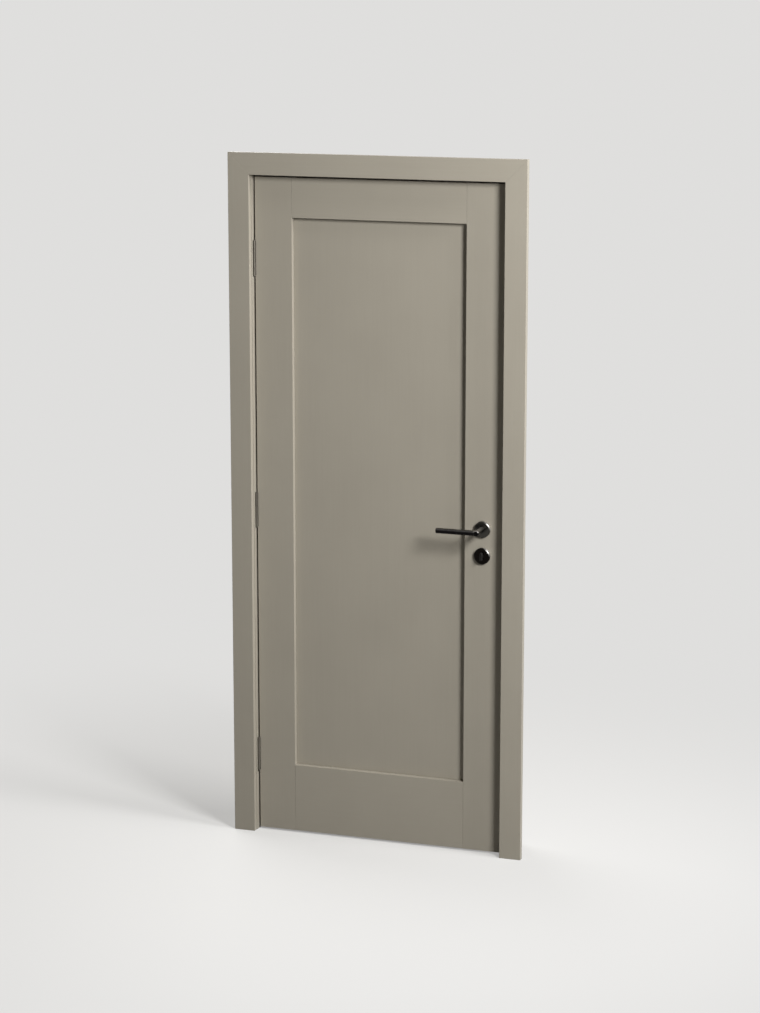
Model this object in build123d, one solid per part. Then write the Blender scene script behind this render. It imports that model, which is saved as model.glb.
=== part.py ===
from build123d import *
import os

os.makedirs("parts", exist_ok=True)

# All lengths are in millimetres. X runs from the hinge side to the latch side, Y away from the viewer, Z up.
# X = 0 is the wall side of the hinge jamb, Y = 0 the face of the wall behind the architrave, Z = 0 the floor.

# Leaf
leaf_width = 762.0
leaf_height = 1981.0
leaf_thickness = 44.0
stile_width = 115.0
top_rail_height = 117.0
bottom_rail_height = 207.0
panel_thickness = 11.0
groove_depth = 12.0
groove_side_play = 0.2  # between the panel's face and the wall of its groove
groove_end_play = 1.5  # room for the panel to swell
arris = 0.6  # small chamfer on every worked edge
latch_edge_bevel = 2.0  # the latch edge falls back this much over the leaf's thickness

# Room round the leaf
side_gap = 5.0
head_gap = 5.0
floor_gap = 6.0
stop_gap = 5.0

# Lining and stops
lining_thickness = 28.0
lining_depth = 132.0
housing_depth = 10.0  # how far the jambs run up into the head
leaf_setback = 12.0  # from the lining's front edge to the leaf's face
stop_thickness = 12.0
stop_width = 32.0

# Architrave
architrave_width = 65.0
architrave_thickness = 18.0
architrave_step = 2.0  # the lining's front edge shows this much round the opening

# Butt hinges
hinge_height = 102.0
hinge_plate_width = 30.0  # how far a plate runs back from the leaf's face
hinge_plate_thickness = 2.0
hinge_top_distance = 187.0  # from the leaf's top to the top hinge
hinge_bottom_distance = 181.0  # from the leaf's bottom to the bottom hinge
hinge_inlay_play = 0.1
knuckle_radius = 3.5
knuckle_count = 5
knuckle_gap = 0.4
knuckle_clearance = 0.5  # to the jamb and to the leaf's face
pin_radius = 2.0
pin_running_clearance = 0.05
pin_head_radius = 3.1
pin_head_height = 2.0
pin_head_chamfer = 0.8

# Lever furniture
furniture_backset = 60.0  # from the leaf's latch edge to the spindles
lever_height = 985.0  # spindle above the floor
rose_radius = 24.0
rose_thickness = 9.0
rose_bevel_width = 2.4  # across the face
rose_bevel_fall = 1.9  # down the side
running_clearance = 0.08  # round the neck of a lever and the stem of a turn
lever_bar_radius = 8.0
lever_neck_radius = 8.5
lever_neck_chamfer = 1.5
lever_reach = 124.0  # spindle to the tip
lever_standoff = 60.0  # leaf's face to the middle of the bar
lever_tip_round = 2.5
spindle_side = 8.0
spindle_socket_depth = 24.0
spindle_play = 0.1
spindle_bore_radius = 10.0

# Thumb-turn furniture
turn_drop = 79.0  # turn spindle below the lever spindle
turn_stem_radius = 5.0
turn_stem_lift = 0.6  # the grip stands this far off its rose
turn_grip_length = 25.0
turn_grip_width = 6.5
turn_grip_depth = 13.0
turn_grip_taper = 5.0  # degrees, towards the fingers
turn_spindle_side = 5.0
turn_socket_depth = 5.0
turn_bore_radius = 6.0
release_radius = 8.0
release_thickness = 2.2
release_slot_width = 2.0
release_slot_depth = 1.2

# Lock forend and its bolts, both withdrawn
forend_length = 195.0
forend_width = 22.0
forend_thickness = 3.0
bolt_width = 12.0
bolt_length = 30.0
bolt_play = 0.3
latch_bolt_height = 20.0
latch_nose_flat = 2.5
latch_nose_fall = 9.0
dead_bolt_height = 26.0

# Strike plate and the keeps behind it
strike_length = 165.0
strike_width = 25.0
strike_thickness = 2.0
strike_corner = 4.0
strike_lip_height = 44.0
strike_lip_reach = 17.0  # how far the lip comes forward of the plate
keep_margin = 2.0  # room round a bolt in its keep
keep_depth = 18.0

# Places that follow from the sizes above
opening_left = lining_thickness
leaf_left = opening_left + side_gap
leaf_right = leaf_left + leaf_width
opening_right = leaf_right + side_gap
lining_width = opening_right + lining_thickness
leaf_bottom = floor_gap
leaf_top = leaf_bottom + leaf_height
opening_top = leaf_top + head_gap
jamb_top = opening_top + housing_depth
leaf_front = leaf_setback
leaf_back = leaf_front + leaf_thickness
leaf_middle = (leaf_front + leaf_back) / 2
panel_left = leaf_left + stile_width
panel_right = leaf_right - stile_width
panel_bottom = leaf_bottom + bottom_rail_height
panel_top = leaf_top - top_rail_height
panel_front = leaf_middle - panel_thickness / 2
panel_back = leaf_middle + panel_thickness / 2
groove_front = panel_front - groove_side_play
groove_back = panel_back + groove_side_play
tongue = groove_depth - groove_end_play
stop_front = leaf_back + stop_gap
stop_back = stop_front + stop_width
inner_left = opening_left - architrave_step
inner_right = opening_right + architrave_step
inner_top = opening_top + architrave_step
outer_left = inner_left - architrave_width
outer_right = inner_right + architrave_width
outer_top = inner_top + architrave_width
hinge_x = opening_left + knuckle_clearance + knuckle_radius
hinge_y = leaf_front - knuckle_clearance - knuckle_radius
hinge_web_front = hinge_y - hinge_plate_thickness / 2
hinge_web_back = hinge_y + hinge_plate_thickness / 2
hinge_levels = {
    "top": leaf_top - hinge_top_distance - hinge_height / 2,
    "middle": (leaf_top + leaf_bottom) / 2,
    "bottom": leaf_bottom + hinge_bottom_distance + hinge_height / 2,
}
frame_plate_back = opening_left - hinge_plate_thickness
door_plate_back = leaf_left + hinge_plate_thickness
furniture_x = leaf_right - furniture_backset
turn_height = lever_height - turn_drop
lock_height = (lever_height + turn_height) / 2
bolt_rise = turn_drop / 2  # latch bolt above the lock's middle, dead bolt as far below it
rose_front = leaf_front - rose_thickness
middle_plane = Plane(origin=(0, leaf_middle, 0), x_dir=(1, 0, 0), z_dir=(0, 1, 0))

# The latch edge is bevelled, so the forend and the bolts are drawn on that edge's own plane
edge_plane = Plane(
    origin=(leaf_right - latch_edge_bevel / 2, leaf_middle, lock_height),
    x_dir=(0, 0, 1), z_dir=Vector(leaf_thickness, latch_edge_bevel, 0).normalized(),
)
strike_plane = Plane(origin=(opening_right, leaf_middle, lock_height), x_dir=(0, 1, 0), z_dir=(1, 0, 0))


def block(x0, x1, y0, y1, z0, z1):
    """A box between two opposite corners."""
    size = Box(x1 - x0, y1 - y0, z1 - z0)
    return Pos((x0 + x1) / 2, (y0 + y1) / 2, (z0 + z1) / 2) * size


def rod(radius, x, z, y0, y1):
    """A round bar along Y."""
    return Pos(x, (y0 + y1) / 2, z) * Rot(90, 0, 0) * Cylinder(radius, y1 - y0)


def square_bar(side, x, z, y0, y1):
    """A square bar along Y."""
    return block(x - side / 2, x + side / 2, y0, y1, z - side / 2, z + side / 2)


def prism(points, y0, y1):
    """A flat outline in X and Z, carried from y0 to y1."""
    outline = make_face(Polyline(*[(x, y0, z) for x, z in points], close=True))
    return extrude(outline, amount=y1 - y0, dir=(0, 1, 0))


def eased(solid, *axes):
    """The solid with an arris on its edges that run along the given axes."""
    edges = ShapeList()
    for axis in axes:
        edges += solid.edges().filter_by(axis)
    return chamfer(edges, arris)


def round_edges(solid, axis):
    """The round edges of a solid, in order along an axis."""
    return solid.edges().filter_by(GeomType.CIRCLE).sort_by(axis)


# Hinges
def hinge_plate(x0, x1, y0, level, play=0.0):
    """A hinge plate from y0 back, or the pocket for it when it is given some play at its edges."""
    half = hinge_height / 2 + play
    return block(x0, x1, y0 - play, leaf_front + hinge_plate_width + play, level - half, level + half)


def knuckle_levels(level, first):
    """The middles of every second knuckle, with their height."""
    pitch = (hinge_height + knuckle_gap) / knuckle_count
    height = pitch - knuckle_gap
    lowest = level - hinge_height / 2 + height / 2
    return [(lowest + pitch * i, height) for i in range(first, knuckle_count, 2)]


def hinge_leaf(level, first, plate, web):
    """A hinge plate with its share of the knuckles, each joined to the plate by a web."""
    shape = plate
    for middle, height in knuckle_levels(level, first):
        shape += block(*web, middle - height / 2, middle + height / 2)
        shape += Pos(hinge_x, hinge_y, middle) * Cylinder(knuckle_radius, height)
    return shape - Pos(hinge_x, hinge_y, level) * Cylinder(pin_radius + pin_running_clearance, hinge_height)


def hinge_pin(level):
    """A pin with a chamfered head at each end."""
    pin = Pos(hinge_x, hinge_y, level) * Cylinder(pin_radius, hinge_height)
    head_rise = (hinge_height + pin_head_height) / 2
    head = Cylinder(pin_head_radius, pin_head_height)
    top_head = chamfer(round_edges(head, Axis.Z)[-1], pin_head_chamfer)
    bottom_head = chamfer(round_edges(head, Axis.Z)[0], pin_head_chamfer)
    pin += Pos(hinge_x, hinge_y, level + head_rise) * top_head
    return pin + Pos(hinge_x, hinge_y, level - head_rise) * bottom_head


frame_web = (frame_plate_back, hinge_x, hinge_web_front, hinge_web_back)
door_web = (leaf_left, door_plate_back, hinge_y, leaf_front)
hinge_pieces = {}
for place, level in hinge_levels.items():
    frame_plate = hinge_plate(frame_plate_back, opening_left, hinge_web_front, level)
    door_plate = hinge_plate(leaf_left, door_plate_back, leaf_front, level)
    hinge_pieces[f"{place}_hinge_frame_leaf"] = hinge_leaf(level, 0, frame_plate, frame_web)
    hinge_pieces[f"{place}_hinge_door_leaf"] = hinge_leaf(level, 1, door_plate, door_web)
    hinge_pieces[f"{place}_hinge_pin"] = hinge_pin(level)

# Lock forend and bolts
latch_nose = Polyline(
    (bolt_width / 2, 0), (bolt_width / 2 - latch_nose_flat, 0), (-bolt_width / 2, -latch_nose_fall),
    (-bolt_width / 2, -bolt_length), (bolt_width / 2, -bolt_length), close=True,
)
latch_blank = extrude(Plane.YZ * make_face(latch_nose), amount=latch_bolt_height / 2, both=True)
latch_bolt = edge_plane * Pos(bolt_rise, 0, 0) * latch_blank
dead_blank = Box(dead_bolt_height, bolt_width, bolt_length, align=(Align.CENTER, Align.CENTER, Align.MAX))
dead_bolt = edge_plane * Pos(-bolt_rise, 0, 0) * dead_blank


def bolt_mortice(height, rise):
    """The mortice that a bolt slides in, with its running play."""
    room = Box(
        height + 2 * bolt_play, bolt_width + 2 * bolt_play, bolt_length, align=(Align.CENTER, Align.CENTER, Align.MAX)
    )
    return edge_plane * Pos(rise, 0, 0) * room


latch_mortice = bolt_mortice(latch_bolt_height, bolt_rise)
dead_mortice = bolt_mortice(dead_bolt_height, -bolt_rise)
forend_blank = edge_plane * extrude(SlotOverall(forend_length, forend_width), amount=-forend_thickness)
latch_forend = forend_blank - latch_mortice - dead_mortice

# Leaf
hinge_stile = eased(block(leaf_left, panel_left, leaf_front, leaf_back, leaf_bottom, leaf_top), Axis.Z)
hinge_stile -= block(panel_left - groove_depth, panel_left, groove_front, groove_back, leaf_bottom, leaf_top)
for level in hinge_levels.values():
    hinge_stile -= hinge_plate(leaf_left, door_plate_back, leaf_front, level, hinge_inlay_play)

latch_outline = Polyline(
    (panel_right, leaf_front), (leaf_right, leaf_front),
    (leaf_right - latch_edge_bevel, leaf_back), (panel_right, leaf_back), close=True,
)
latch_stile = Pos(0, 0, leaf_bottom) * extrude(make_face(latch_outline), amount=leaf_height, dir=(0, 0, 1))
latch_stile = eased(latch_stile, Axis.Z)
latch_stile -= block(panel_right, panel_right + groove_depth, groove_front, groove_back, leaf_bottom, leaf_top)
latch_stile -= rod(spindle_bore_radius, furniture_x, lever_height, leaf_front, leaf_back)
latch_stile -= rod(turn_bore_radius, furniture_x, turn_height, leaf_front, leaf_back)
latch_stile = latch_stile - forend_blank - latch_mortice - dead_mortice


def rail(z0, z1, inner):
    """A rail between the stiles, with a stub tenon at each end and the panel's groove in its inner edge."""
    tenon_z0, tenon_z1 = (z0, z1 - groove_depth) if inner == "top" else (z0 + groove_depth, z1)
    groove_z0, groove_z1 = (z1 - groove_depth, z1) if inner == "top" else (z0, z0 + groove_depth)
    body = eased(block(panel_left, panel_right, leaf_front, leaf_back, z0, z1), Axis.X, Axis.Z)
    body += block(panel_left - tongue, panel_right + tongue, panel_front, panel_back, tenon_z0, tenon_z1)
    return body - block(panel_left - tongue, panel_right + tongue, groove_front, groove_back, groove_z0, groove_z1)


bottom_rail = rail(leaf_bottom, panel_bottom, "top")
top_rail = rail(panel_top, leaf_top, "bottom")
panel = block(
    panel_left - tongue, panel_right + tongue, panel_front, panel_back, panel_bottom - tongue, panel_top + tongue
)

# Strike plate, drawn in its own plane with the lip towards the viewer
strike_outline = RectangleRounded(strike_width, strike_length, strike_corner)
strike_outline += Pos(-strike_lip_reach / 2, bolt_rise) * RectangleRounded(
    strike_width + strike_lip_reach, strike_lip_height, strike_corner
)
strike_blank = strike_plane * extrude(strike_outline, amount=strike_thickness)
keep_width = bolt_width + 2 * keep_margin
keep_openings = Pos(0, bolt_rise) * Rectangle(keep_width, latch_bolt_height + 2 * keep_margin)
keep_openings += Pos(0, -bolt_rise) * Rectangle(keep_width, dead_bolt_height + 2 * keep_margin)
keeps = strike_plane * extrude(keep_openings, amount=keep_depth)
strike_plate = strike_blank - keeps

# Lining and stops; the head is housed over the jambs
hinge_jamb = block(0, opening_left, 0, lining_depth, 0, jamb_top)
latch_jamb = block(opening_right, lining_width, 0, lining_depth, 0, jamb_top)
head_lining = block(0, lining_width, 0, lining_depth, opening_top, opening_top + lining_thickness)
head_lining = head_lining - hinge_jamb - latch_jamb
hinge_jamb = chamfer(hinge_jamb.edges().filter_by(Axis.Z).sort_by(Axis.X)[-2:], arris)
for level in hinge_levels.values():
    hinge_jamb -= hinge_plate(frame_plate_back, opening_left, hinge_web_front, level, hinge_inlay_play)
latch_jamb = chamfer(latch_jamb.edges().filter_by(Axis.Z).sort_by(Axis.X)[:2], arris)
latch_jamb = latch_jamb - strike_blank - keeps

stop_top = opening_top - stop_thickness
hinge_stop = block(opening_left, opening_left + stop_thickness, stop_front, stop_back, 0, stop_top)
latch_stop = block(opening_right - stop_thickness, opening_right, stop_front, stop_back, 0, stop_top)
head_stop = block(opening_left, opening_right, stop_front, stop_back, stop_top, opening_top)
hinge_stop = eased(hinge_stop, Axis.Z)
latch_stop = eased(latch_stop, Axis.Z)
head_stop = eased(head_stop, Axis.X)


def architrave(points, axis):
    """A mitred length of architrave with an arris on its long edges."""
    return eased(prism(points, -architrave_thickness, 0), axis)


hinge_architrave = architrave(
    [(outer_left, 0), (inner_left, 0), (inner_left, inner_top), (outer_left, outer_top)], Axis.Z
)
latch_architrave = architrave(
    [(inner_right, 0), (outer_right, 0), (outer_right, outer_top), (inner_right, inner_top)], Axis.Z
)
head_architrave = architrave(
    [(inner_left, inner_top), (inner_right, inner_top), (outer_right, outer_top), (outer_left, outer_top)],
    Axis.X,
)


# Lever and turn furniture on the viewer's side, then the same mirrored to the other side
def rose(z, bore_radius):
    """A turned rose on the leaf's face, bevelled round its rim, with a bore for what turns in it."""
    half_section = Polyline(
        (bore_radius, 0), (rose_radius, 0), (rose_radius, rose_bevel_fall - rose_thickness),
        (rose_radius - rose_bevel_width, -rose_thickness), (bore_radius, -rose_thickness), close=True,
    )
    return Pos(furniture_x, leaf_front, z) * revolve(make_face(half_section), Axis.Y)


front_lever_rose = rose(lever_height, lever_neck_radius + running_clearance)
front_turn_rose = rose(turn_height, turn_stem_radius + running_clearance)
back_lever_rose = mirror(front_lever_rose, about=middle_plane)
back_turn_rose = mirror(front_turn_rose, about=middle_plane)

bar_y = leaf_front - lever_standoff
neck = rod(lever_neck_radius, furniture_x, lever_height, bar_y - lever_neck_radius, leaf_front)
neck = chamfer(round_edges(neck, Axis.Y)[0], lever_neck_chamfer)
bar = Cylinder(lever_bar_radius, lever_reach)
bar = fillet(round_edges(bar, Axis.Z)[0], lever_tip_round)
bar = Pos(furniture_x - lever_reach / 2, bar_y, lever_height) * Rot(0, 90, 0) * bar
socket_side = spindle_side + 2 * spindle_play
socket_front = leaf_front - spindle_socket_depth
front_lever = neck + bar - square_bar(socket_side, furniture_x, lever_height, socket_front, leaf_front)
back_lever = mirror(front_lever, about=middle_plane)
lever_spindle = square_bar(
    spindle_side, furniture_x, lever_height,
    socket_front + spindle_play, leaf_back + spindle_socket_depth - spindle_play,
)

stem_front = rose_front - turn_stem_lift
turn_socket = square_bar(
    turn_spindle_side + 2 * spindle_play, furniture_x, turn_height, leaf_front - turn_socket_depth, leaf_front
)
stem = rod(turn_stem_radius, furniture_x, turn_height, stem_front, leaf_front) - turn_socket
grip_plane = Plane(origin=(furniture_x, stem_front, turn_height), x_dir=(1, 0, 0), z_dir=(0, -1, 0))
grip_outline = grip_plane * SlotOverall(turn_grip_length, turn_grip_width, rotation=90)
thumb_turn = stem + extrude(grip_outline, amount=turn_grip_depth, taper=turn_grip_taper)
back_stem = mirror(stem, about=middle_plane)
release_back = 2 * leaf_middle - stem_front + release_thickness
release_cap = rod(release_radius, furniture_x, turn_height, release_back - release_thickness, release_back)
release_slot = block(
    furniture_x - release_radius, furniture_x + release_radius, release_back - release_slot_depth, release_back,
    turn_height - release_slot_width / 2, turn_height + release_slot_width / 2,
)
turn_release = back_stem + release_cap - release_slot
turn_spindle = square_bar(
    turn_spindle_side, furniture_x, turn_height,
    leaf_front - turn_socket_depth + spindle_play, leaf_back + turn_socket_depth - spindle_play,
)

# Every piece is written under its node name
pieces = {
    "hinge_jamb": hinge_jamb,
    "latch_jamb": latch_jamb,
    "head_lining": head_lining,
    "hinge_stop": hinge_stop,
    "latch_stop": latch_stop,
    "head_stop": head_stop,
    "hinge_architrave": hinge_architrave,
    "latch_architrave": latch_architrave,
    "head_architrave": head_architrave,
    "strike_plate": strike_plate,
    "hinge_stile": hinge_stile,
    "latch_stile": latch_stile,
    "top_rail": top_rail,
    "bottom_rail": bottom_rail,
    "panel": panel,
    "latch_forend": latch_forend,
    "latch_bolt": latch_bolt,
    "dead_bolt": dead_bolt,
    "front_lever_rose": front_lever_rose,
    "back_lever_rose": back_lever_rose,
    "front_turn_rose": front_turn_rose,
    "back_turn_rose": back_turn_rose,
    "front_lever": front_lever,
    "back_lever": back_lever,
    "lever_spindle": lever_spindle,
    "thumb_turn": thumb_turn,
    "turn_release": turn_release,
    "turn_spindle": turn_spindle,
    **hinge_pieces,
}
for node, shape in pieces.items():
    export_step(shape, f"parts/{node}.step")
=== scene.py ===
"""Finishes, small fixings, studio and camera for a painted single-panel shaker door."""

import logging
import math
from dataclasses import dataclass
from enum import Enum
from typing import Any, Dict, Iterable, Optional, Tuple, Type, Union

import bmesh
import bpy
from mathutils import Matrix, Vector


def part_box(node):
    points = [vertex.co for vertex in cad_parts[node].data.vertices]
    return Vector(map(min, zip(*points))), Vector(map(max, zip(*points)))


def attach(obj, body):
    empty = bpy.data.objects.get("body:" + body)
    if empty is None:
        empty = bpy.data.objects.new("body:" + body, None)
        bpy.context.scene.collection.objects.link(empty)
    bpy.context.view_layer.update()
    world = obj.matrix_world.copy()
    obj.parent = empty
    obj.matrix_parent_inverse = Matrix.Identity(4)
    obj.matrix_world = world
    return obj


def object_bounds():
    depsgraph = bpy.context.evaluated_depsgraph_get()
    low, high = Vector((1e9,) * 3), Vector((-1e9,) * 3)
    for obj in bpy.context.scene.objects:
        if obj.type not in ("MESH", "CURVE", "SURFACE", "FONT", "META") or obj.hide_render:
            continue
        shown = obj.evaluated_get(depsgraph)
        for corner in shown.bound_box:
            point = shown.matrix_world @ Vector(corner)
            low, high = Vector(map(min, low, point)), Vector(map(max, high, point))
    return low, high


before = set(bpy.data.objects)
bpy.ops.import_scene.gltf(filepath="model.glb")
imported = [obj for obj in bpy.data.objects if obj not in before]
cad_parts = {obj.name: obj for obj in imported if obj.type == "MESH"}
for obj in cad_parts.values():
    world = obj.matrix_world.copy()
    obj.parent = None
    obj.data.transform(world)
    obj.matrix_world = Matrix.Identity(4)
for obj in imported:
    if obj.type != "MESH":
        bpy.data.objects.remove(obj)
CAD_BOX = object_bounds()

Colour = Tuple[float, float, float]
Triple = Tuple[float, float, float]
Span = Tuple[float, float]
Operand = Union["Socket", float]
Inputs = Dict[Union[str, int], Any]

LOG = logging.getLogger("shaker_door")
MM = 0.001
PHOTO_WIDTH_PX = 760
PHOTO_HEIGHT_PX = 1013
NOISE_MIDDLE = 0.5
ARRIS_SAMPLES = 6
ARRIS_SPAN: Span = (0.01, 0.25)
CREVICE_SAMPLES = 8
CREVICE_SPAN: Span = (0.25, 0.85)
UNSTRETCHED: Triple = (1.0, 1.0, 1.0)
UNMOVED: Triple = (0.0, 0.0, 0.0)


class Body(Enum):
    """The bodies that the added pieces ride on."""

    FRAME = "frame"
    LEAF = "leaf"
    LEVER = "lever"


class Slot(Enum):
    """The record's material slots."""

    PAINT = "painted_timber"
    STEEL = "satin_steel"
    SPINDLE = "spindle_steel"
    DARK = "dark_metal"


class Grain(Enum):
    """The way a board's fibres and the painter's last strokes run."""

    UPRIGHT = (1.0, 1.0, 0.02)
    LEVEL = (0.02, 1.0, 1.0)


@dataclass(frozen=True)
class Pattern:
    """How fine a noise is and how much detail it carries."""

    scale: float
    detail: float = 3.0
    roughness: float = 0.5


class Socket:
    """A shader socket that takes part in ordinary arithmetic."""

    def __init__(self, sheet: "NodeSheet", output: bpy.types.NodeSocket) -> None:
        """Keeps the socket and the sheet that it is on."""
        self.sheet = sheet
        self.output = output

    def pick(self, name: str) -> "Socket":
        """Another output of the same node."""
        return Socket(self.sheet, self.output.node.outputs[name])

    def _math(self, operation: str, first: Operand, second: Operand) -> "Socket":
        """A Math node on two values."""
        return self.sheet.node("ShaderNodeMath", {"operation": operation}, {0: first, 1: second})

    def __add__(self, other: Operand) -> "Socket":
        """self + other"""
        return self._math("ADD", self, other)

    def __radd__(self, other: Operand) -> "Socket":
        """other + self"""
        return self._math("ADD", other, self)

    def __sub__(self, other: Operand) -> "Socket":
        """self - other"""
        return self._math("SUBTRACT", self, other)

    def __rsub__(self, other: Operand) -> "Socket":
        """other - self"""
        return self._math("SUBTRACT", other, self)

    def __mul__(self, other: Operand) -> "Socket":
        """self * other"""
        return self._math("MULTIPLY", self, other)

    def __rmul__(self, other: Operand) -> "Socket":
        """other * self"""
        return self._math("MULTIPLY", other, self)

    def swing(self, share: float) -> "Socket":
        """A noise's swing about its middle, times a share."""
        return (self - NOISE_MIDDLE) * share

    def held(self) -> "Socket":
        """The value held between 0 and 1."""
        settings = {"operation": "ADD", "use_clamp": True}
        return self.sheet.node("ShaderNodeMath", settings, {0: self, 1: 0.0})

    def over(self, low: float, high: float) -> "Socket":
        """A smooth step.

        Args:
            low: the value that gives 0.
            high: the value that gives 1.

        Returns:
            The step, between 0 and 1.
        """
        settings = {"interpolation_type": "SMOOTHSTEP"}
        inputs = {"Value": self, "From Min": low, "From Max": high}
        return self.sheet.node("ShaderNodeMapRange", settings, inputs)


class NodeSheet:
    """A node tree with one way to add any node."""

    def __init__(self, tree: bpy.types.NodeTree) -> None:
        """Empties a material's or the world's node tree."""
        self.tree = tree
        tree.nodes.clear()

    def node(
        self,
        kind: str,
        settings: Optional[Dict[str, Any]] = None,
        inputs: Optional[Inputs] = None,
        output: Union[str, int] = 0,
    ) -> Socket:
        """Adds a node of any type.

        Args:
            kind: the node's type name.
            settings: properties, set before the sockets.
            inputs: values or sockets, by the input's name or place.
            output: the output to hand back.

        Returns:
            The chosen output, or the first input of a node that has no output.
        """
        made = self.tree.nodes.new(kind)
        for name, value in (settings or {}).items():
            setattr(made, name, value)
        for name, value in (inputs or {}).items():
            if isinstance(value, Socket):
                self.tree.links.new(value.output, made.inputs[name])
            else:
                made.inputs[name].default_value = value
        return Socket(self, made.outputs[output] if len(made.outputs) else made.inputs[0])

    def coordinates(self, stretch: Triple = UNSTRETCHED, shift: Triple = UNMOVED) -> Socket:
        """The piece's own coordinates in metres, scaled and shifted.

        Args:
            stretch: the scale along each axis.
            shift: what is added along each axis.

        Returns:
            The coordinates.
        """
        place = self.node("ShaderNodeTexCoord", output="Object")
        inputs = {"Vector": place, "Scale": stretch, "Location": shift}
        return self.node("ShaderNodeMapping", inputs=inputs)

    def noise(self, vector: Socket, pattern: Pattern) -> Socket:
        """Noise between 0 and 1, with its middle near a half.

        Args:
            vector: the coordinates.
            pattern: how fine and detailed it is.

        Returns:
            The noise.
        """
        inputs = {
            "Vector": vector,
            "Scale": pattern.scale,
            "Detail": pattern.detail,
            "Roughness": pattern.roughness,
        }
        return self.node("ShaderNodeTexNoise", {"noise_dimensions": "3D"}, inputs)

    def mix(self, share: Operand, first: Any, second: Any) -> Socket:
        """A colour between two colours.

        Args:
            share: 0 for the first colour, 1 for the second.
            first: a colour or a socket.
            second: a colour or a socket.

        Returns:
            The mixed colour.
        """
        ends = [value if isinstance(value, Socket) else (*value, 1.0) for value in (first, second)]
        settings = {"data_type": "RGBA", "blend_type": "MIX"}
        return self.node("ShaderNodeMix", settings, {0: share, 6: ends[0], 7: ends[1]}, output=2)

    def likeness(self, first: Socket, second: Union[Socket, Triple]) -> Socket:
        """How far two directions agree, from -1 to 1."""
        settings = {"operation": "DOT_PRODUCT"}
        return self.node("ShaderNodeVectorMath", settings, {0: first, 1: second}, output="Value")

    def eased(self, radius: float) -> Socket:
        """A normal that turns over each sharp edge as if it were rounded."""
        return self.node("ShaderNodeBevel", {"samples": ARRIS_SAMPLES}, {"Radius": radius})

    def arris(self, radius: float) -> Socket:
        """A mask that rises towards sharp edges."""
        flat = self.node("ShaderNodeNewGeometry", output="Normal")
        return (1.0 - self.likeness(self.eased(radius), flat)).over(*ARRIS_SPAN)

    def towards(self, way: Triple) -> Socket:
        """How far the piece's own surface looks along a direction, from -1 to 1."""
        return self.likeness(self.node("ShaderNodeTexCoord", output="Normal"), way)

    def crevice(self, reach: float, span: Span = CREVICE_SPAN) -> Socket:
        """A mask that rises in inner corners, used to lay painted shade.

        Args:
            reach: how far off a surface still shuts off the view out.
            span: the shares of the view shut off where the mask starts and where it is full.

        Returns:
            The mask.
        """
        settings, inputs = {"samples": CREVICE_SAMPLES}, {"Distance": reach}
        open_share = self.node("ShaderNodeAmbientOcclusion", settings, inputs, output="AO")
        return (1.0 - open_share).over(*span)

    def bump(
        self, height: Socket, depth: float, strength: float, normal: Optional[Socket] = None
    ) -> Socket:
        """A normal from a height.

        Args:
            height: the height, between 0 and 1.
            depth: what a height of 1 stands for, in metres.
            strength: how much of it shows.
            normal: the normal that it lies on, if not the surface's own.

        Returns:
            The normal.
        """
        inputs: Inputs = {"Height": height, "Distance": depth, "Strength": strength}
        if normal is not None:
            inputs["Normal"] = normal
        return self.node("ShaderNodeBump", inputs=inputs)

    def surface(self, shader: Socket) -> None:
        """Ends the tree with this shader."""
        self.node("ShaderNodeOutputMaterial", inputs={"Surface": shader})


@dataclass(frozen=True)
class Finish:
    """A surface finish that makes its own material."""

    name: str

    def paint_nodes(self, sheet: NodeSheet) -> Socket:
        """Adds the finish's nodes and hands back its shader."""
        raise NotImplementedError

    def material(self) -> bpy.types.Material:
        """The finish as a material, made once.

        Returns:
            The material of this finish's name.
        """
        known = bpy.data.materials.get(self.name)
        if known is not None:
            return known
        made = bpy.data.materials.new(self.name)
        made.use_nodes = True
        sheet = NodeSheet(made.node_tree)
        sheet.surface(self.paint_nodes(sheet))
        return made


@dataclass(frozen=True)
class SeededFinish(Finish):
    """A finish whose noise is moved by a seed, so that no two pieces carry the same marks."""

    seed: float = 0.0
    seed_step: Triple = (1.0, 1.0, 1.0)

    def coordinates(self, sheet: NodeSheet, stretch: Triple = UNSTRETCHED) -> Socket:
        """The piece's own coordinates, stretched and moved by the seed."""
        x, y, z = (self.seed * step for step in self.seed_step)
        return sheet.coordinates(stretch, (x, y, z))


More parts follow.
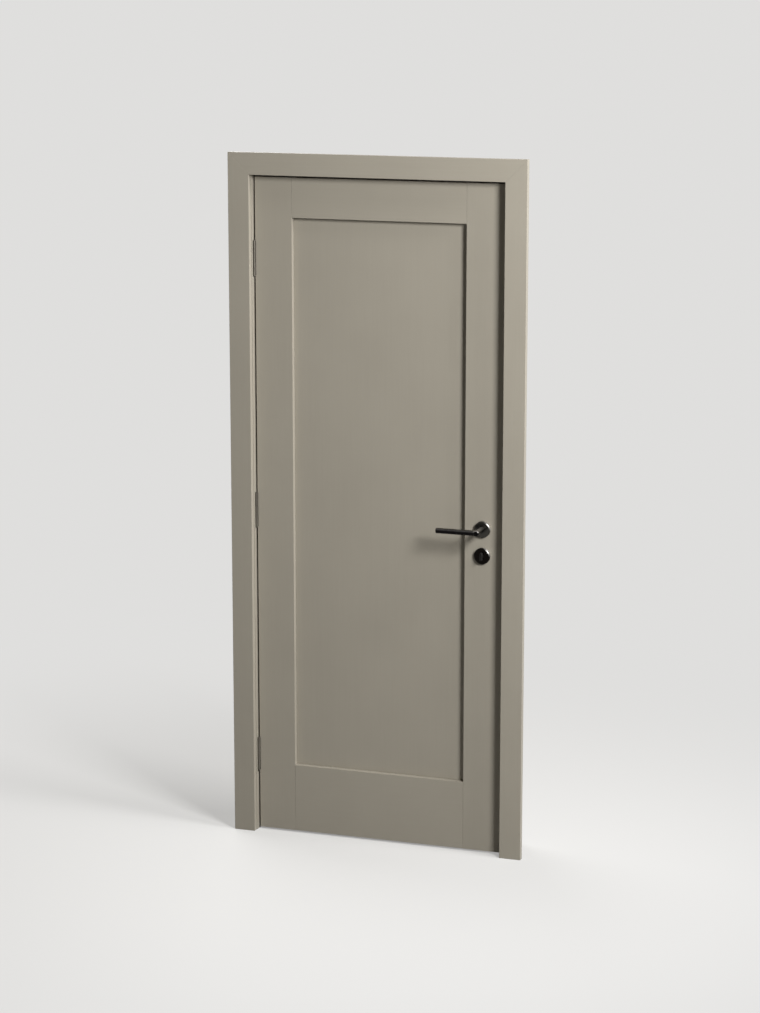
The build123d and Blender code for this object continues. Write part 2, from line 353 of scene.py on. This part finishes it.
@dataclass(frozen=True)
class SatinPaint(SeededFinish):
    """Warm grey satin paint over timber, laid off along the board."""

    seed_step: Triple = (1.7, 2.3, 3.1)
    grain: Grain = Grain.UPRIGHT
    deep: Colour = (0.318, 0.291, 0.241)
    pale: Colour = (0.356, 0.327, 0.272)
    cloud: Pattern = Pattern(5.0, detail=4.0)
    cloud_tone: float = 0.9
    cloud_sheen: float = 0.12
    stroke: Pattern = Pattern(260.0, roughness=0.6)
    stroke_tone: float = 0.55
    stroke_sheen: float = 0.1
    stroke_relief: float = 0.5
    fibre: Pattern = Pattern(900.0, detail=2.0)
    fibre_relief: float = 0.2
    stipple: Pattern = Pattern(1100.0, detail=2.0)
    stipple_relief: float = 0.3
    relief_depth: float = 0.12 * MM
    relief_strength: float = 0.3
    # Painted shade: a darker colour laid in inner corners, where shade falls.
    crevice_shade: Colour = (0.215, 0.196, 0.163)
    crevice_shade_reach: float = 3.0 * MM
    crevice_shade_share: float = 0.2
    # Painted shade: a darker colour laid in the narrow creases at the boards' joints.
    joint_shade: Colour = (0.13, 0.117, 0.095)
    joint_shade_reach: float = 1.4 * MM
    joint_shade_span: Span = (0.08, 0.5)
    joint_shade_share: float = 0.7
    rubbed: Colour = (0.42, 0.392, 0.338)
    wear: Pattern = Pattern(90.0, detail=4.0)
    wear_reach: float = 1.2 * MM
    wear_span: Span = (0.42, 0.7)
    wear_share: float = 0.2
    easing: float = 0.9 * MM
    roughness: float = 0.4
    specular: float = 0.28

    def paint_nodes(self, sheet: NodeSheet) -> Socket:
        """Adds the paint's nodes.

        Args:
            sheet: the material's node tree.

        Returns:
            The shader.
        """
        plain = self.coordinates(sheet)
        along = self.coordinates(sheet, self.grain.value)
        cloud = sheet.noise(plain, self.cloud)
        stroke = sheet.noise(along, self.stroke)
        fibre = sheet.noise(along, self.fibre)
        stipple = sheet.noise(plain, self.stipple)
        tone = NOISE_MIDDLE + cloud.swing(self.cloud_tone) + stroke.swing(self.stroke_tone)
        colour = sheet.mix(tone.held(), self.deep, self.pale)
        # Painted shade in inner corners and in the creases at the boards' joints.
        colour = sheet.mix(sheet.crevice(self.crevice_shade_reach) * self.crevice_shade_share, colour, self.crevice_shade)
        joint_shade = sheet.crevice(self.joint_shade_reach, self.joint_shade_span) * self.joint_shade_share
        colour = sheet.mix(joint_shade, colour, self.joint_shade)
        worn = sheet.arris(self.wear_reach) * sheet.noise(plain, self.wear).over(*self.wear_span)
        colour = sheet.mix(worn * self.wear_share, colour, self.rubbed)
        height = stroke * self.stroke_relief + fibre * self.fibre_relief
        height = height + stipple * self.stipple_relief
        eased = sheet.eased(self.easing)
        rough = self.roughness + cloud.swing(self.cloud_sheen) + stroke.swing(self.stroke_sheen)
        inputs = {
            "Base Color": colour,
            "Roughness": rough,
            "Normal": sheet.bump(height, self.relief_depth, self.relief_strength, eased),
            "Specular IOR Level": self.specular,
        }
        return sheet.node("ShaderNodeBsdfPrincipled", inputs=inputs)


@dataclass(frozen=True)
class DarkMetal(SeededFinish):
    """Dark polished gunmetal with fine turning marks and finger smears, and painted highlight on
    faces that look one way and on worn edges.
    """

    seed_step: Triple = (1.3, 2.9, 0.7)
    deep: Colour = (0.02, 0.0185, 0.0185)
    pale: Colour = (0.038, 0.036, 0.035)
    # Painted highlight, laid on faces that look one way and, with real edge wear, on the edges.
    highlight_and_wear: Colour = (0.2, 0.19, 0.18)
    roughness: float = 0.24
    marks: Pattern = Pattern(2600.0, detail=2.0)
    mark_stretch: Triple = (1.0, 1.0, 0.05)
    mark_sheen: float = 0.08
    mark_depth: float = 0.03 * MM
    mark_strength: float = 0.3
    smear: Pattern = Pattern(70.0)
    smear_tone: float = 1.4
    smear_sheen: float = 0.14
    wear: Pattern = Pattern(240.0, detail=4.0)
    wear_reach: float = 1.2 * MM
    wear_span: Span = (0.25, 0.65)
    # How much edge wear and painted highlight the edges take.
    rim_wear_and_highlight: float = 0.75
    rim_roughness: float = 0.3
    # Painted highlight on faces that look along one way, and on a lever's neck.
    highlight_share: float = 0.0
    highlight_way: Triple = (0.0, 0.0, 1.0)
    highlight_from: float = 0.03
    highlight_to: float = 0.95
    highlight_least: float = 0.55
    highlight_by_smear: float = 0.9
    highlight_roughness: float = 0.0
    neck_from: Optional[float] = None
    neck_blend: float = 3.0 * MM
    neck_highlight: float = 1.0

    def paint_nodes(self, sheet: NodeSheet) -> Socket:
        """Adds the metal's nodes.

        Args:
            sheet: the material's node tree.

        Returns:
            The shader.
        """
        plain = self.coordinates(sheet)
        marks = sheet.noise(self.coordinates(sheet, self.mark_stretch), self.marks)
        smear = sheet.noise(plain, self.smear)
        tone = smear.swing(self.smear_tone) + NOISE_MIDDLE
        colour = sheet.mix(tone.held(), self.deep, self.pale)
        # Painted highlight on faces that look along one way, and on a lever's neck.
        lit_side = sheet.towards(self.highlight_way).over(self.highlight_from, self.highlight_to)
        highlit = lit_side * (self.highlight_least + smear * self.highlight_by_smear)
        highlit = (highlit * self.highlight_amount(sheet)).held()
        colour = sheet.mix(highlit, colour, self.highlight_and_wear)
        # Edge wear and painted highlight on the edges.
        worn = sheet.arris(self.wear_reach) * sheet.noise(plain, self.wear).over(*self.wear_span)
        colour = sheet.mix(worn * self.rim_wear_and_highlight, colour, self.highlight_and_wear)
        rough = self.roughness + smear.swing(self.smear_sheen) + marks.swing(self.mark_sheen)
        rough = rough + worn * self.rim_roughness + highlit * self.highlight_roughness
        inputs = {
            "Base Color": colour,
            "Metallic": 1.0,
            "Roughness": rough.held(),
            "Normal": sheet.bump(marks, self.mark_depth, self.mark_strength),
        }
        return sheet.node("ShaderNodeBsdfPrincipled", inputs=inputs)

    def highlight_amount(self, sheet: NodeSheet) -> Operand:
        """How much painted highlight each place takes, more on a lever's neck than along its bar.

        Args:
            sheet: the material's node tree.

        Returns:
            One share for the whole piece, or a share that rises at the neck.
        """
        if self.neck_from is None:
            return self.highlight_share
        across = sheet.node("ShaderNodeSeparateXYZ", inputs={0: sheet.coordinates()}, output="X")
        neck = across.over(self.neck_from - self.neck_blend, self.neck_from + self.neck_blend)
        return self.highlight_share + neck * (self.neck_highlight - self.highlight_share)


@dataclass(frozen=True)
class HingeMetal(DarkMetal):
    """The hinges' paler, duller metal."""

    deep: Colour = (0.125, 0.115, 0.097)
    pale: Colour = (0.175, 0.162, 0.139)
    roughness: float = 0.42


@dataclass(frozen=True)
class LeverMetal(DarkMetal):
    """A lever's near-black metal, with a painted highlight along its top and on its neck."""

    deep: Colour = (0.004, 0.0035, 0.0038)
    pale: Colour = (0.0095, 0.0083, 0.0087)
    highlight_and_wear: Colour = (0.31, 0.295, 0.28)
    highlight_share: float = 0.27
    highlight_roughness: float = 0.15


@dataclass(frozen=True)
class RoseMetal(DarkMetal):
    """A lever rose's metal, paler than a turn rose's as a painted reflection, with a painted
    highlight on the rim at the upper right.
    """

    deep: Colour = (0.036, 0.034, 0.0295)
    pale: Colour = (0.062, 0.0585, 0.052)
    highlight_and_wear: Colour = (0.56, 0.545, 0.52)
    rim_wear_and_highlight: float = 0.15
    highlight_share: float = 0.9
    highlight_way: Triple = (0.79, 0.0, 0.61)
    highlight_from: float = 0.4
    highlight_roughness: float = 0.5


@dataclass(frozen=True)
class TurnRoseMetal(RoseMetal):
    """A turn rose's metal, a darker copy of a lever rose's; the tone between the two is painted
    reflection.
    """

    deep: Colour = (0.006, 0.005, 0.0043)
    pale: Colour = (0.0115, 0.0095, 0.0082)


@dataclass(frozen=True)
class GripMetal(DarkMetal):
    """The turn's and the release's metal, with a painted highlight on the side that looks along +X.
    """

    deep: Colour = (0.007, 0.006, 0.0055)
    pale: Colour = (0.013, 0.0115, 0.0105)
    roughness: float = 0.42
    highlight_share: float = 0.25
    highlight_way: Triple = (0.98, 0.0, 0.2)
    highlight_roughness: float = 1.0


@dataclass(frozen=True)
class SatinSteel(SeededFinish):
    """Brushed steel with a soft sheen and painted shade in its corners."""

    seed_step: Triple = (0.9, 1.9, 2.7)
    deep: Colour = (0.40, 0.385, 0.36)
    pale: Colour = (0.56, 0.545, 0.52)
    roughness: float = 0.34
    brush: Pattern = Pattern(3200.0, detail=2.0)
    brush_stretch: Triple = (1.0, 1.0, 0.03)
    brush_tone: float = 0.5
    brush_sheen: float = 0.1
    brush_depth: float = 0.04 * MM
    brush_strength: float = 0.4
    cloud: Pattern = Pattern(60.0, detail=4.0)
    cloud_tone: float = 0.8
    cloud_sheen: float = 0.18
    # Painted shade: a darker colour laid in inner corners, where shade falls.
    corner_shade: Colour = (0.12, 0.11, 0.1)
    corner_shade_reach: float = 4.0 * MM
    corner_shade_share: float = 0.6

    def paint_nodes(self, sheet: NodeSheet) -> Socket:
        """Adds the steel's nodes.

        Args:
            sheet: the material's node tree.

        Returns:
            The shader.
        """
        brushed = sheet.noise(self.coordinates(sheet, self.brush_stretch), self.brush)
        cloud = sheet.noise(self.coordinates(sheet), self.cloud)
        tone = NOISE_MIDDLE + cloud.swing(self.cloud_tone) + brushed.swing(self.brush_tone)
        colour = sheet.mix(tone.held(), self.deep, self.pale)
        # Painted shade in inner corners.
        colour = sheet.mix(sheet.crevice(self.corner_shade_reach) * self.corner_shade_share, colour, self.corner_shade)
        rough = self.roughness + cloud.swing(self.cloud_sheen) + brushed.swing(self.brush_sheen)
        inputs = {
            "Base Color": colour,
            "Metallic": 1.0,
            "Roughness": rough,
            "Normal": sheet.bump(brushed, self.brush_depth, self.brush_strength),
        }
        return sheet.node("ShaderNodeBsdfPrincipled", inputs=inputs)


SCREW_STEEL = SatinSteel("screw_steel", seed=4.0)
SPINDLE_STEEL = SatinSteel("spindle_steel", seed=7.0)


def dress(node: str, finish: Finish, slot: Slot) -> bpy.types.Object:
    """Gives a CAD node its finish.

    Args:
        node: the node's name.
        finish: what its surface is.
        slot: the record's slot for it; not used.

    Returns:
        The node's object.
    """
    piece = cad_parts[node]
    piece.data.materials.clear()
    piece.data.materials.append(finish.material())
    return piece


def dress_dark(
    nodes: Tuple[str, ...],
    metal: Type[DarkMetal],
    first_seed: float,
    neck_from: Optional[float] = None,
) -> Iterable[bpy.types.Object]:
    """Gives each CAD node a dark metal with marks of its own.

    Args:
        nodes: the nodes' names.
        metal: the kind of dark metal.
        first_seed: the first node's seed.
        neck_from: where a lever's neck starts across the door, if the nodes are levers.

    Returns:
        The nodes' objects, one by one.
    """
    for count, node in enumerate(nodes):
        finish = metal(f"dark_metal_{node}", seed=first_seed + count, neck_from=neck_from)
        yield dress(node, finish, Slot.DARK)


def new_piece(
    name: str, shape: bmesh.types.BMesh, finish: Finish, slot: Slot, body: Body
) -> bpy.types.Object:
    """Makes an object from a mesh and sets it on its body.

    Args:
        name: the piece's name.
        shape: the mesh in the shared frame, which is used up.
        finish: what its surface is.
        slot: the record's slot for it; not used.
        body: the body that it rides on.

    Returns:
        The new object.
    """
    mesh = bpy.data.meshes.new(name)
    bmesh.ops.recalc_face_normals(shape, faces=shape.faces)
    shape.to_mesh(mesh)
    shape.free()
    mesh.materials.append(finish.material())
    piece = bpy.data.objects.new(name, mesh)
    bpy.context.scene.collection.objects.link(piece)
    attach(piece, body.value)
    return piece


class Recess(Enum):
    """What a screw is turned with."""

    CROSS = "cross"
    HEX = "hex"


@dataclass(frozen=True)
class ScrewHead:
    """A screw head with its driver recess, a hair proud of what it holds."""

    radius: float = 4.0 * MM
    proud: float = 0.25 * MM
    rim: float = 0.35 * MM
    sunk: float = 1.2 * MM
    sunk_share: float = 0.55
    recess: Recess = Recess.CROSS
    recess_reach: float = 2.3 * MM
    recess_arm: float = 1.0 * MM
    recess_depth: float = 1.1 * MM
    recess_taper: float = 0.8
    points: int = 48

    def recess_radius(self, angle: float) -> float:
        """How far the recess reaches from the middle.

        Args:
            angle: the way to measure, in radians.

        Returns:
            The reach in metres.
        """
        if self.recess is Recess.HEX:
            sector = math.pi / 3
            return self.recess_reach * math.cos(sector / 2) / math.cos(angle % sector - sector / 2)
        near, far = sorted((abs(math.cos(angle)), abs(math.sin(angle))))
        half = self.recess_arm / 2
        arm = self.recess_reach / far if near * self.recess_reach <= half * far else half / near
        return max(arm, half / far)

    def add_to(self, shape: bmesh.types.BMesh, place: Matrix) -> None:
        """Adds one head to a mesh.

        Args:
            shape: the mesh that gains the head.
            place: from the head's own frame, with Z out of the plate, to the shared frame.
        """
        angles = [2 * math.pi * i / self.points for i in range(self.points)]
        recess = [self.recess_radius(angle) for angle in angles]
        outlines = (
            ([self.radius * self.sunk_share] * self.points, -self.sunk),
            ([self.radius] * self.points, self.proud - self.rim),
            ([self.radius - self.rim] * self.points, self.proud),
            (recess, self.proud),
            ([reach * self.recess_taper for reach in recess], self.proud - self.recess_depth),
        )
        rings = []
        for reaches, level in outlines:
            ring = zip(reaches, angles)
            points = [Vector((r * math.cos(a), r * math.sin(a), level)) for r, a in ring]
            rings.append([shape.verts.new(place @ point) for point in points])
        for lower, upper in zip(rings, rings[1:]):
            for i in range(self.points):
                j = (i + 1) % self.points
                shape.faces.new((lower[i], lower[j], upper[j], upper[i]))
        shape.faces.new(rings[0][::-1])
        shape.faces.new(rings[-1])


def facing(point: Vector, outward: Vector, upward: Vector) -> Matrix:
    """A frame at a point of a surface.

    Args:
        point: the frame's origin.
        outward: the way of its Z axis.
        upward: roughly the way of its Y axis.

    Returns:
        From that frame to the shared one.
    """
    z = outward.normalized()
    x = upward.cross(z).normalized()
    y = z.cross(x)
    turn = Matrix((x, y, z)).transposed().to_4x4()
    return Matrix.Translation(point) @ turn


@dataclass
class Boards:
    """Painted boards, some upright and some level."""

    upright: Tuple[str, ...] = ()
    upright_seed: float = 0.0
    level: Tuple[str, ...] = ()
    level_seed: float = 0.0
    # How much painted shade the boards take in the creases at their joints.
    joint_shade_share: float = SatinPaint.joint_shade_share

    def build(self) -> Iterable[bpy.types.Object]:
        """Dresses each board along its own grain.

        Returns:
            The boards, one by one.
        """
        runs = (
            (self.upright, Grain.UPRIGHT, self.upright_seed),
            (self.level, Grain.LEVEL, self.level_seed),
        )
        for nodes, grain, first_seed in runs:
            for count, node in enumerate(nodes):
                paint = SatinPaint(
                    f"satin_paint_{node}",
                    seed=first_seed + count,
                    grain=grain,
                    joint_shade_share=self.joint_shade_share,
                )
                yield dress(node, paint, Slot.PAINT)


@dataclass
class Lining(Boards):
    """Jambs, head lining and stops."""

    upright: Tuple[str, ...] = ("hinge_jamb", "latch_jamb", "hinge_stop", "latch_stop")
    upright_seed: float = 1.0
    level: Tuple[str, ...] = ("head_lining", "head_stop")
    level_seed: float = 6.0


@dataclass
class Architrave(Boards):
    """The plain boards round the opening, their mitres filled before painting; they take no painted
    shade at their joints.
    """

    upright: Tuple[str, ...] = ("hinge_architrave", "latch_architrave")
    upright_seed: float = 9.0
    level: Tuple[str, ...] = ("head_architrave",)
    level_seed: float = 12.0
    joint_shade_share: float = 0.0


@dataclass
class Leaf(Boards):
    """Stiles, rails and panel."""

    upright: Tuple[str, ...] = ("hinge_stile", "latch_stile", "panel")
    upright_seed: float = 14.0
    level: Tuple[str, ...] = ("top_rail", "bottom_rail")
    level_seed: float = 18.0


@dataclass
class Hinges:
    """Three butt hinges with their pins and screws."""

    places: Tuple[str, ...] = ("top", "middle", "bottom")
    near_column: float = 10.0 * MM
    far_column: float = 21.0 * MM
    outer_rows: float = 38.0 * MM
    inner_rows: float = 13.0 * MM
    slot_lean: float = 0.35
    slot_lean_by_column: float = 20.0
    metal: DarkMetal = HingeMetal("dark_metal_hinges", seed=12.0)
    screw: ScrewHead = ScrewHead()
    screw_metal: DarkMetal = DarkMetal("dark_metal_screws", seed=13.0)

    def build(self) -> Iterable[bpy.types.Object]:
        """Dresses the hinges and adds their screws.

        Returns:
            The hinges' pieces, one by one.
        """
        for place in self.places:
            for part in ("frame_leaf", "door_leaf", "pin"):
                yield dress(f"{place}_hinge_{part}", self.metal, Slot.DARK)
            yield self.screws(place, "frame_leaf", Body.FRAME)
            yield self.screws(place, "door_leaf", Body.LEAF)

    def screws(self, place: str, part: str, body: Body) -> bpy.types.Object:
        """The four screws of one hinge plate.

        Args:
            place: which hinge.
            part: which of its plates.
            body: what the plate rides on.

        Returns:
            The screws as one piece.
        """
        low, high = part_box(f"{place}_hinge_{part}")
        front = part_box("hinge_stile")[0].y
        middle = (low.z + high.z) / 2
        if body is Body.FRAME:
            x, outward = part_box("hinge_jamb")[1].x, Vector((1, 0, 0))
        else:
            x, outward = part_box("hinge_stile")[0].x, Vector((-1, 0, 0))
        shape = bmesh.new()
        columns = ((self.near_column, self.outer_rows), (self.far_column, self.inner_rows))
        for column, rows in columns:
            for side in (-1, 1):
                point = Vector((x, front + column, middle + side * rows))
                slant = Vector((0, self.slot_lean * side + column * self.slot_lean_by_column, 1))
                self.screw.add_to(shape, facing(point, outward, slant))
        return new_piece(f"{place}_hinge_{part}_screws", shape, self.screw_metal, Slot.DARK, body)


@dataclass
class LockEdge:
    """The forend and bolts in the leaf's edge and the strike in the jamb."""

    screw_inset: float = 10.0 * MM
    slot_lean: float = 0.4
    square_on: float = 0.9
    steel: SatinSteel = SatinSteel("satin_steel_lock", seed=2.0)
    screw: ScrewHead = ScrewHead(radius=3.6 * MM)

    def build(self) -> Iterable[bpy.types.Object]:
        """Dresses the plates and bolts and adds the plates' screws.

        Returns:
            The lock edge's pieces, one by one.
        """
        for node in ("latch_forend", "latch_bolt", "dead_bolt", "strike_plate"):
            yield dress(node, self.steel, Slot.STEEL)
        yield self.screws("latch_forend", Vector((1, 0, 0)), Body.LEAF)
        yield self.screws("strike_plate", Vector((-1, 0, 0)), Body.FRAME)

    def screws(self, node: str, towards: Vector, body: Body) -> bpy.types.Object:
        """The two screws at the ends of a plate.

        Args:
            node: the plate's name.
            towards: roughly the way that its face looks.
            body: what it rides on.

        Returns:
            The screws as one piece.
        """
        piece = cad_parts[node]
        faces = (f for f in piece.data.polygons if f.normal.dot(towards) > self.square_on)
        face = max(faces, key=lambda f: f.area)
        normal, point = face.normal, piece.matrix_world @ face.center
        low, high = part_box(node)
        leaf_low, leaf_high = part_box("latch_stile")
        shape = bmesh.new()
        for end, level in enumerate((low.z + self.screw_inset, high.z - self.screw_inset)):
            y = (leaf_low.y + leaf_high.y) / 2
            x = point.x - normal.y * (y - point.y) / normal.x
            slant = Vector((0, self.slot_lean - end, 1))
            self.screw.add_to(shape, facing(Vector((x, y, level)), normal, slant))
        return new_piece(f"{node}_screws", shape, SCREW_STEEL, Slot.STEEL, body)


@dataclass
class LeverFurniture:
    """Levers, their roses and the spindle."""

    levers: Tuple[str, ...] = ("front_lever", "back_lever")
    lever_seed: float = 1.0
    roses: Tuple[str, ...] = ("front_lever_rose", "back_lever_rose")
    rose_seed: float = 3.0
    neck_reach: float = 9.0 * MM
    grub_from_rose: float = 7.0 * MM
    grub: ScrewHead = ScrewHead(
        radius=2.1 * MM,
        proud=0.1 * MM,
        rim=0.15 * MM,
        recess=Recess.HEX,
        recess_reach=1.2 * MM,
        recess_depth=0.9 * MM,
    )

    def build(self) -> Iterable[bpy.types.Object]:
        """Dresses the levers and their roses and adds a grub screw under each neck.

        Returns:
            The lever furniture's pieces, one by one.
        """
        low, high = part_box("lever_spindle")
        neck_from = (low.x + high.x) / 2 - self.neck_reach
        yield from dress_dark(self.levers, LeverMetal, self.lever_seed, neck_from)
        yield from dress_dark(self.roses, RoseMetal, self.rose_seed)
        yield dress("lever_spindle", SPINDLE_STEEL, Slot.SPINDLE)
        low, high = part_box("front_lever_rose")
        middle = (low.x + high.x) / 2
        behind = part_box("back_lever_rose")[1].y
        yield self.grub_screw("front_lever", low.y - self.grub_from_rose, middle)
        yield self.grub_screw("back_lever", behind + self.grub_from_rose, middle)

    def grub_screw(self, node: str, y: float, x: float) -> bpy.types.Object:
        """The screw that holds a lever on its spindle.

        Args:
            node: the lever's name.
            y: how far through the door it sits.
            x: the spindle's place across the door.

        Returns:
            The screw.
        """
        shape = bmesh.new()
        under = Vector((x, y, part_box(node)[0].z))
        self.grub.add_to(shape, facing(under, Vector((0, 0, -1)), Vector((0, 1, 0))))
        return new_piece(f"{node}_grub_screw", shape, SCREW_STEEL, Slot.DARK, Body.LEVER)


@dataclass
class TurnFurniture:
    """Thumb-turn, release, their roses and the spindle."""

    roses: Tuple[str, ...] = ("front_turn_rose", "back_turn_rose")
    rose_seed: float = 6.0
    grips: Tuple[str, ...] = ("thumb_turn", "turn_release")
    grip_seed: float = 8.0

    def build(self) -> Iterable[bpy.types.Object]:
        """Dresses the turn, the release, their roses and the spindle.

        Returns:
            The turn furniture's pieces, one by one.
        """
        yield from dress_dark(self.roses, TurnRoseMetal, self.rose_seed)
        yield from dress_dark(self.grips, GripMetal, self.grip_seed)
        yield dress("turn_spindle", SPINDLE_STEEL, Slot.SPINDLE)


def seen_directly(sheet: NodeSheet) -> Socket:
    """1 for rays from the camera or sent on by gloss or glass, 0 for light on the object."""
    path = sheet.node("ShaderNodeLightPath", output="Is Camera Ray")
    return (path + path.pick("Is Glossy Ray") + path.pick("Is Transmission Ray")).held()


@dataclass(frozen=True)
class PaleFloor(Finish):
    """A plain pale studio floor that keeps the shadow and fades into the backdrop."""

    seen: Colour = (0.69, 0.685, 0.675)
    bounce: Colour = (0.19, 0.188, 0.184)
    backdrop: Colour = (0.74, 0.735, 0.725)
    near_share: float = 0.42
    fade_from: float = 0.3
    fade_to: float = 2.6

    def paint_nodes(self, sheet: NodeSheet) -> Socket:
        """Adds the floor's nodes.

        Args:
            sheet: the material's node tree.

        Returns:
            The shader.
        """
        place = sheet.node("ShaderNodeTexCoord", output="Object")
        settings = {"operation": "LENGTH"}
        away = sheet.node("ShaderNodeVectorMath", settings, {0: place}, output="Value")
        seen_by = seen_directly(sheet)
        colour = sheet.mix(seen_by, self.bounce, self.seen)
        near = sheet.node("ShaderNodeBsdfDiffuse", inputs={"Color": colour})
        glow = {"Color": (*self.backdrop, 1.0), "Strength": 1.0}
        far = sheet.node("ShaderNodeEmission", inputs=glow)
        faded = away.over(self.fade_from, self.fade_to) * (1.0 - self.near_share)
        share = (self.near_share + faded) * seen_by
        return sheet.node("ShaderNodeMixShader", inputs={0: share, 1: near, 2: far})


@dataclass(frozen=True)
class SoftLamp:
    """A flat soft lamp that the camera does not see."""

    name: str
    place: Triple
    aim: Triple
    sides: Span
    power: float

    def build(self) -> bpy.types.Object:
        """Makes the lamp and turns it to what it lights.

        Returns:
            The lamp's object.
        """
        lamp = bpy.data.lights.new(self.name, "AREA")
        lamp.shape = "RECTANGLE"
        lamp.size, lamp.size_y = self.sides
        lamp.energy = self.power
        holder = bpy.data.objects.new(self.name, lamp)
        holder.location = self.place
        way = Vector(self.aim) - Vector(self.place)
        holder.rotation_euler = way.to_track_quat("-Z", "Y").to_euler()
        holder.visible_camera = False
        bpy.context.scene.collection.objects.link(holder)
        return holder


@dataclass
class Studio:
    """A round pale floor, a weak fill and lamps at the upper right, along the edges and behind."""

    floor_radius: float = 60.0
    floor_points: int = 96
    floor_drop: float = 0.5 * MM
    fill: Colour = (0.05, 0.044, 0.029)
    floor: PaleFloor = PaleFloor("pale_floor")
    lamps: Tuple[SoftLamp, ...] = (
        SoftLamp("key_lamp", (3.36, -2.4, 2.98), (0.41, 0.0, 1.0), (1.05, 1.3), 213.0),
        SoftLamp("edge_lamp", (3.9, -0.42, 4.3), (0.41, 0.0, 1.0), (1.2, 1.2), 165.0),
        SoftLamp("back_lamp", (-3.1, 2.9, 3.2), (0.41, 0.07, 1.0), (4.4, 4.4), 225.0),
    )

    def build(self) -> Iterable[bpy.types.Object]:
        """Makes the world, the floor and the lamps.

        Returns:
            The floor and the lamps, one by one.
        """
        self.set_world()
        yield self.make_floor()
        for lamp in self.lamps:
            yield lamp.build()

    def make_floor(self) -> bpy.types.Object:
        """The floor, a disc just under the object's foot.

        Returns:
            The floor's object.
        """
        shape = bmesh.new()
        bmesh.ops.create_circle(
            shape, cap_ends=True, radius=self.floor_radius, segments=self.floor_points
        )
        mesh = bpy.data.meshes.new("studio_floor")
        shape.to_mesh(mesh)
        shape.free()
        mesh.materials.append(self.floor.material())
        piece = bpy.data.objects.new("studio_floor", mesh)
        piece.location.z = CAD_BOX[0].z - self.floor_drop
        bpy.context.scene.collection.objects.link(piece)
        return piece

    def set_world(self) -> None:
        """Lights the world with a weak even fill, seen as the pale backdrop."""
        world = bpy.data.worlds.new("studio_world")
        world.use_nodes = True
        sheet = NodeSheet(world.node_tree)
        colour = sheet.mix(seen_directly(sheet), self.fill, self.floor.backdrop)
        light = sheet.node("ShaderNodeBackground", inputs={"Color": colour, "Strength": 1.0})
        sheet.node("ShaderNodeOutputWorld", inputs={"Surface": light})
        bpy.context.scene.world = world


@dataclass
class PhotoCamera:
    """The camera at the photograph's place, to the right of the door and above it."""

    place: Triple = (2.9548, -7.3924, 2.6566)
    focal_px: float = 2719.8
    sensor: float = 36.0
    yaw_deg: float = 18.902
    pitch_deg: float = 11.732
    level_deg: float = 90.0
    clip_end: float = 500.0

    def build(self) -> Iterable[bpy.types.Object]:
        """Makes the camera and gives it to the scene.

        Returns:
            The camera's object alone.
        """
        lens = bpy.data.cameras.new("photo_camera")
        lens.sensor_width = self.sensor
        lens.lens = self.focal_px * self.sensor / max(PHOTO_WIDTH_PX, PHOTO_HEIGHT_PX)
        lens.clip_end = self.clip_end
        holder = bpy.data.objects.new("photo_camera", lens)
        holder.location = self.place
        tilt, turn = math.radians(self.level_deg - self.pitch_deg), math.radians(self.yaw_deg)
        holder.rotation_euler = (tilt, 0.0, turn)
        bpy.context.scene.collection.objects.link(holder)
        bpy.context.scene.camera = holder
        yield holder


def main() -> None:
    """Builds and dresses each sub-assembly in order, then the studio and the camera."""
    logging.basicConfig(level=logging.INFO, format="%(name)s %(message)s")
    bpy.context.scene.view_settings.view_transform = "Standard"
    joinery = (Lining(), Architrave(), Leaf())
    fittings = (Hinges(), LockEdge(), LeverFurniture(), TurnFurniture())
    for assembly in (*joinery, *fittings, Studio(), PhotoCamera()):
        for piece in assembly.build():
            LOG.info("%s made %s", type(assembly).__name__, piece.name)


if __name__ == "__main__":
    main()
